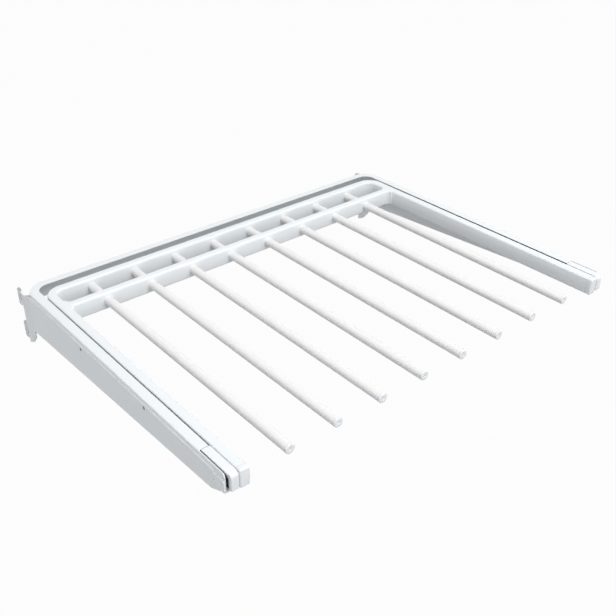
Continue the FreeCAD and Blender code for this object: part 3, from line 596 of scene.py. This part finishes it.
def pullOutFrame():
    bm = bmesh.new()
    end = outlineFace(bm, rounded(-tube["outer"], -tube["inner"], tube["edge"], -tube["height"]),
                      lambda x, z: (x, tube["front"], z))
    end = pushed(bm, end, (0, tube["bendY"] - tube["front"], 0))
    end = swung(bm, end, (-tube["bendX"], tube["bendY"], 0), -90, tube["bendSteps"])
    end = pushed(bm, end, (tube["bendX"] * 2, 0, 0))
    end = swung(bm, end, (tube["bendX"], tube["bendY"], 0), -90, tube["bendSteps"])
    pushed(bm, end, (0, tube["front"] - tube["bendY"], 0))
    closed(bm)
    ends = facesWhere(bm, lambda at, normal: at.y < tube["front"] + near)
    bmesh.ops.delete(bm, geom=ends, context="FACES_ONLY")
    bmesh.ops.solidify(bm, geom=bm.faces[:], thickness=tube["wall"])
    seats = pegs([(x, tube["face"], rods["height"]) for x in rodPlaces], rods["hole"], "y", tube["drill"],
                 rods["holeSteps"])
    screws = pegs([(side * tube["outer"], y, tube["screwHeight"]) for side in (-1, 1) for y in tube["screws"]],
                  tube["screwHole"], "x", tube["drill"], tube["drillSteps"])
    return carved(bm, seats, screws)


bar = {"back": -83.5, "face": -95.5, "end": 275.8, "foot": 2.4, "lean": 0.1, "flare": 5.0, "flareSteps": 8,
       "spread": 5.6, "edge": 2.2, "wall": 1.2, "hollowEdge": 1.0, "drill": 20.0,
       "weld": ((275.4, -0.02), (278.3, -0.02), (277.5, -0.4), (276.8, -0.86), (276.2, -1.6), (275.85, -2.6),
                (275.4, -2.6))}


def crossBar():
    middle = (bar["back"] + bar["face"]) / 2
    half = (bar["back"] - bar["face"]) / 2
    neck = bar["end"] - bar["foot"]
    bm = bmesh.new()
    section = [(y, z, bar["edge"]) for y, z in ((bar["back"], 0.0), (bar["back"], -tube["height"]),
                                               (bar["face"], -tube["height"]), (bar["face"], 0.0))]
    end = outlineFace(bm, section, lambda y, z: (-bar["end"], y, z))
    stations = [(bar["end"], half + bar["spread"]), (neck + bar["lean"], half + bar["spread"])]
    for step in range(bar["flareSteps"] + 1):
        angle = math.radians(90 * step / bar["flareSteps"])
        stations.append((neck - bar["flare"] + bar["flare"] * math.cos(angle),
                         half + bar["flare"] * (1 - math.sin(angle))))
    stations = [(-x, width) for x, width in stations] + stations[::-1]
    about = Matrix.Translation((0, -middle, 0))
    place, width = stations[0]
    bmesh.ops.scale(bm, vec=(1, width / half, 1), space=about, verts=end.verts)
    for nextPlace, nextWidth in stations[1:]:
        end = pushed(bm, end, (nextPlace - place, 0, 0))
        bmesh.ops.scale(bm, vec=(1, nextWidth / width, 1), space=about, verts=end.verts)
        place, width = nextPlace, nextWidth
    closed(bm)
    hollow = prism(rounded(bar["back"] - bar["wall"], bar["face"] + bar["wall"], bar["hollowEdge"],
                           bar["wall"] - tube["height"], -bar["wall"]), "x", -bar["end"] - spare, bar["end"] + spare)
    bores = pegs([(x, middle, rods["height"]) for x in rodPlaces], rods["hole"], "y", bar["drill"],
                 rods["holeSteps"])
    bm = carved(bm, hollow, bores)
    # weld metal fills the roundings of the arms at the bar's feet
    reach = half + bar["spread"] - margin
    for side in (-1, 1):
        joined(bm, prism([(side * x, z) for x, z in bar["weld"]], "y", middle - reach, middle + reach))
        joined(bm, prism([(side * x, -tube["height"] - z) for x, z in bar["weld"]], "y",
                         middle - reach, middle + reach))
    return bm


def rod(x):
    bm = bmesh.new()
    inner, outer, z = rods["radius"] - rods["wall"], rods["radius"], rods["height"]
    spun(bm, [(x, y, z + r) for y, r in ((rods["front"], inner), (rods["front"], outer),
                                         (rods["rear"], outer), (rods["rear"], inner))],
         (x, 0, z), (0, 1, 0), rods["steps"], True)
    return closed(bm)


cap = {"tip": -466.5, "edge": 0.9, "edgeSteps": 5, "dimple": 2.4, "dimpleDepth": 0.45, "bowl": 1.1,
       "bowlDepth": 0.38, "dimpleEdge": 0.5, "dimpleSteps": 3, "backEdge": 0.25, "backSteps": 2, "spigot": 4.75,
       "spigotEnd": -454.0, "ringSlack": 0.05}


def onRing(point, y, size):
    across = abs(point.x) % rods["pitch"] - rods["pitch"] / 2
    return abs(point.y - y) < near and abs(math.hypot(across, point.z - rods["height"]) - size) < cap["ringSlack"]


def rodCaps():
    bm = bmesh.new()
    z, radius = rods["height"], rods["radius"]
    profile = ((cap["tip"] + cap["dimpleDepth"], 0), (cap["tip"] + cap["bowlDepth"], cap["bowl"]),
               (cap["tip"], cap["dimple"]), (cap["tip"], radius), (rods["front"], radius),
               (rods["front"], cap["spigot"]), (cap["spigotEnd"], cap["spigot"]), (cap["spigotEnd"], 0))
    for x in rodPlaces:
        spun(bm, [(x, y, z + r) for y, r in profile], (x, 0, z), (0, 1, 0), rods["steps"])
    closed(bm)
    for y, size, ease, steps in ((cap["tip"], radius, cap["edge"], cap["edgeSteps"]),
                                 (cap["tip"], cap["dimple"], cap["dimpleEdge"], cap["dimpleSteps"]),
                                 (rods["front"], radius, cap["backEdge"], cap["backSteps"])):
        ring = edgesWhere(bm, lambda one, two: onRing(one, y, size) and onRing(two, y, size))
        bevelEdges(bm, ring, ease, steps)
    return closed(bm)


plug = {"face": -470.5, "edge": 2.0, "edgeSteps": 5, "backEdge": 0.25, "backSteps": 2, "inset": 1.3,
        "spigot": 15.0, "softness": 0.15}


def armPlug(side):
    bm = prism(rounded(side * tube["outer"], side * tube["inner"], tube["edge"], -tube["height"]),
               "y", plug["face"], tube["front"])
    bevelEdges(bm, edgesWhere(bm, lambda one, two: max(one.y, two.y) < plug["face"] + near), plug["edge"],
               plug["edgeSteps"])
    back = facesWhere(bm, lambda at, normal: at.y > tube["front"] - near)[0]
    bevelEdges(bm, list(back.edges), plug["backEdge"], plug["backSteps"])
    back = facesWhere(bm, lambda at, normal: at.y > tube["front"] - near)[0]
    bmesh.ops.inset_region(bm, faces=[back], thickness=plug["inset"] - plug["backEdge"], use_even_offset=True)
    pushed(bm, back, (0, plug["spigot"], 0))
    return closed(bm)


slideCap = {"outside": 298.4, "inside": 289.2, "face": -470.5, "back": -466.0, "bottom": -21.0, "cover": 2.0,
            "coverSide": 299.3, "coverRear": -421.8, "noseRadius": 5.0, "footRadius": 1.0, "upperLip": -6.2,
            "lowerLip": -19.8, "lipEnd": -461.3, "middle": -13.0, "tenonOut": 295.7, "tenonIn": 290.2,
            "tenonHalf": 4.2, "tenonEnd": -455.0, "edge": 0.9, "edgeSteps": 4, "softness": 0.25}


def slideCover(side):
    face, back, lipEnd, cover = slideCap["face"], slideCap["back"], slideCap["lipEnd"], -slideCap["cover"]
    bm = prism((
        (slideCap["coverRear"], 0), (face, 0, slideCap["noseRadius"]),
        (face, slideCap["bottom"], slideCap["footRadius"]), (lipEnd, slideCap["bottom"]),
        (lipEnd, slideCap["lowerLip"]), (back, slideCap["lowerLip"]), (back, slideCap["upperLip"]),
        (lipEnd, slideCap["upperLip"]), (lipEnd, cover), (slideCap["coverRear"], cover),
    ), "x", side * slideCap["outside"], side * slideCap["inside"])
    split(bm, (0, back, 0), (0, 1, 0))
    split(bm, (0, 0, cover), (0, 0, 1))
    strip = facesWhere(bm, lambda at, normal: normal.x * side > squarely and at.y > back and at.z > cover)
    pushed(bm, strip[0], (side * (slideCap["coverSide"] - slideCap["outside"]), 0, 0))
    for x in (slideCap["tenonOut"], slideCap["tenonIn"]):
        split(bm, (side * x, 0, 0), (1, 0, 0))
    for z in (slideCap["tenonHalf"], -slideCap["tenonHalf"]):
        split(bm, (0, 0, slideCap["middle"] + z), (0, 0, 1))
    tenon = facesWhere(bm, lambda at, normal: normal.y > squarely and abs(at.y - back) < near
                       and abs(at.z - slideCap["middle"]) < slideCap["tenonHalf"]
                       and slideCap["tenonIn"] < abs(at.x) < slideCap["tenonOut"])
    pushed(bm, tenon[0], (0, slideCap["tenonEnd"] - back, 0))
    rims = edgesWhere(bm, lambda one, two: abs(one.x - two.x) < near and min(one.y, two.y) < back - margin
                      and max(one.y, two.y) < back + near
                      and min(abs(abs(one.x) - slideCap[end]) for end in ("outside", "inside")) < near
                      and not (abs(one.z - two.z) < near and slideCap["bottom"] + margin < one.z < -margin))
    bevelEdges(bm, rims, slideCap["edge"], slideCap["edgeSteps"])
    return closed(bm)


screw = {"tip": 282.9, "point": 1.2, "seat": 289.9, "top": 291.5, "shank": 1.5, "head": 2.9, "steps": 32,
         "crown": 0.8, "crownSteps": 5, "rimStep": 1.0, "slotLength": 3.4, "slotWidth": 0.8, "slotDepth": 1.0}


def railScrews(side):
    bm = bmesh.new()
    z = tube["screwHeight"]
    for y in tube["screws"]:
        points = [(side * x, y, z + r) for x, r in (
            (screw["tip"], 0), (screw["tip"] + screw["point"], screw["shank"]), (screw["seat"], screw["shank"]),
            (screw["seat"], screw["head"]), (screw["top"], screw["head"]), (screw["top"], 0))]
        spun(bm, points, (0, y, z), (1, 0, 0), screw["steps"])
    closed(bm)
    rims = edgesWhere(bm, lambda one, two: min(abs(one.x), abs(two.x)) > screw["top"] - near
                      and (one - two).length < screw["rimStep"])
    bevelEdges(bm, rims, screw["crown"], screw["crownSteps"])
    closed(bm)
    cutters = []     # the two arms of the cross are cut one after the other
    for turn in (0, 90):
        cutter = bmesh.new()
        for y in tube["screws"]:
            place = Matrix.Translation((side * screw["top"], y, z)) @ Matrix.Rotation(math.radians(turn), 4, "X")
            size = Matrix.Diagonal((screw["slotDepth"] * 2, screw["slotLength"], screw["slotWidth"], 1.0))
            bmesh.ops.create_cube(cutter, size=1.0, matrix=place @ size)
        cutters.append(cutter)
    return carved(bm, *cutters)


newPiece("pullOutFrame", pullOutFrame(), "rack", frameCoat, ["pull_out_frame"], tube["softness"])
newPiece("crossBar", crossBar(), "rack", frameCoat, ["cross_bar"])
for number, x in enumerate(rodPlaces, 1):
    newPiece("rod" + str(number), rod(x), "rack", rodCoat, ["rod_" + str(number)])
newPiece("rodCaps", rodCaps(), "rack", whitePlastic, ["rod_caps"])
for suffix, hand, side in sides:
    newPiece("armPlug" + suffix, armPlug(side), "rack", whitePlastic, ["arm_plug_" + hand],
             plug["softness"])
    newPiece("slideCap" + suffix, slideCover(side), "rack", whitePlastic, ["slide_cap_" + hand],
             slideCap["softness"])
    newPiece("railScrews" + suffix, railScrews(side), "rack", plainZinc, ["rail_screws_" + hand])
print("pull-out frame, bar, rods, caps and plugs modelled")


# ball-bearing slides: modelled balls between the two rolled members
balls = {"radius": 1.6, "fineness": 3, "across": 294.05, "middle": -13.0, "rise": 7.25, "first": -228.5,
         "pitch": -14.0, "count": 6}


def slideBalls(side):
    bm = bmesh.new()
    for number in range(balls["count"]):
        for way in (-1, 1):
            place = (side * balls["across"], balls["first"] + balls["pitch"] * number,
                     balls["middle"] + way * balls["rise"])
            bmesh.ops.create_icosphere(bm, subdivisions=balls["fineness"], radius=balls["radius"],
                                       matrix=Matrix.Translation(place))
    return bm


for suffix, hand, side in sides:
    newPiece("slideBalls" + suffix, slideBalls(side), "cage_" + hand, ballSteel,
             ["slide_balls_" + hand])
    for node, material in (("slide_channel_", trackedZinc), ("slide_rail_", trackedZinc), ("ball_cage_", plainZinc),
                           ("stop_buffer_", bufferRubber)):
        for slot in cadNodes[node + hand].material_slots:
            slot.material = material
print("balls modelled, slides finished")


# stage, lights and camera, all in metres
stage = {"drop": -1.35, "size": 30.0, "grey": (0.35, 0.35, 0.35, 1), "white": (1.0, 1.0, 1.0, 1), "share": 0.97,
         "sky": (0.97, 0.985, 1.0, 1), "walls": 1.22, "front": 1.42, "ceiling": 0.18, "turnSpan": (0.15, 0.75),
         "frontSpan": (-0.2, -0.8)}


def seenDirectly(finish):
    # 1 on camera, mirror and glass rays, 0 on the rays that light the object
    kinds = [finish.add("LightPath", output="Is " + kind + " Ray") for kind in ("Camera", "Glossy", "Transmission")]
    seen = finish.maths("MAXIMUM", finish.maths("MAXIMUM", kinds[0], kinds[1]), kinds[2])
    scattered = finish.add("LightPath", output="Diffuse Depth")
    return seen * finish.maths("LESS_THAN", scattered, 0.5)


floorMaterial, finish = newMaterial("paleFloor")
plain = finish.add("BsdfDiffuse", None, {"Color": stage["grey"]})
bright = finish.add("Emission", None, {"Color": stage["white"], "Strength": 1.0})
floorLook = finish.mixShader(seenDirectly(finish) * stage["share"], plain, bright)
finish.add("OutputMaterial", None, {"Surface": floorLook})
ground = bmesh.new()
bmesh.ops.create_grid(ground, x_segments=1, y_segments=1, size=stage["size"] / 2,
                      matrix=Matrix.Translation((0, 0, stage["drop"])))
floor = looseObject("floor", ground)
floor.data.materials.append(floorMaterial)

world = bpy.data.worlds.new("studio")
bpy.context.scene.world = world
finish = Finish(world)
wallLight, frontLight, ceilingLight = [
    finish.add("Background", None, {"Color": stage["sky"], "Strength": stage[part]})
    for part in ("walls", "front", "ceiling")]
direction = finish.add("TexCoord", output="Generated")
rise = finish.ramp(finish.along(direction, "Z"), *stage["turnSpan"])
ahead = finish.ramp(finish.along(direction, "Y"), *stage["frontSpan"])
around = finish.mixShader(rise, finish.mixShader(ahead, wallLight, frontLight), ceilingLight)
bright = finish.add("Background", None, {"Color": stage["white"], "Strength": 1.0})
worldLook = finish.mixShader(seenDirectly(finish), around, bright)
finish.add("OutputWorld", None, {"Surface": worldLook})

key = {"place": (0.2, -1.5, 2.7), "aim": (0.0, -0.24, 0.0), "size": 2.2, "power": 70.0}
viewer = {"place": (-0.6214, -0.9724, 0.5502), "turn": (58.31, 0.0, -39.70), "lens": 49.63, "sensor": 36.0}


def placed(data, place, turn):
    item = bpy.data.objects.new(data.name, data)
    item.location = place
    item.rotation_euler = turn
    bpy.context.scene.collection.objects.link(item)
    return item


light = bpy.data.lights.new("key", "AREA")
light.shape = "DISK"
light.size = key["size"]
light.energy = key["power"]
aim = Vector(key["aim"]) - Vector(key["place"])
placed(light, key["place"], aim.to_track_quat("-Z", "Y").to_euler())

camera = bpy.data.cameras.new("viewer")
camera.lens = viewer["lens"]
camera.sensor_width = viewer["sensor"]
bpy.context.scene.camera = placed(camera, viewer["place"], [math.radians(angle) for angle in viewer["turn"]])
bpy.context.scene.view_settings.view_transform = "Standard"
print("stage, lights and camera set")
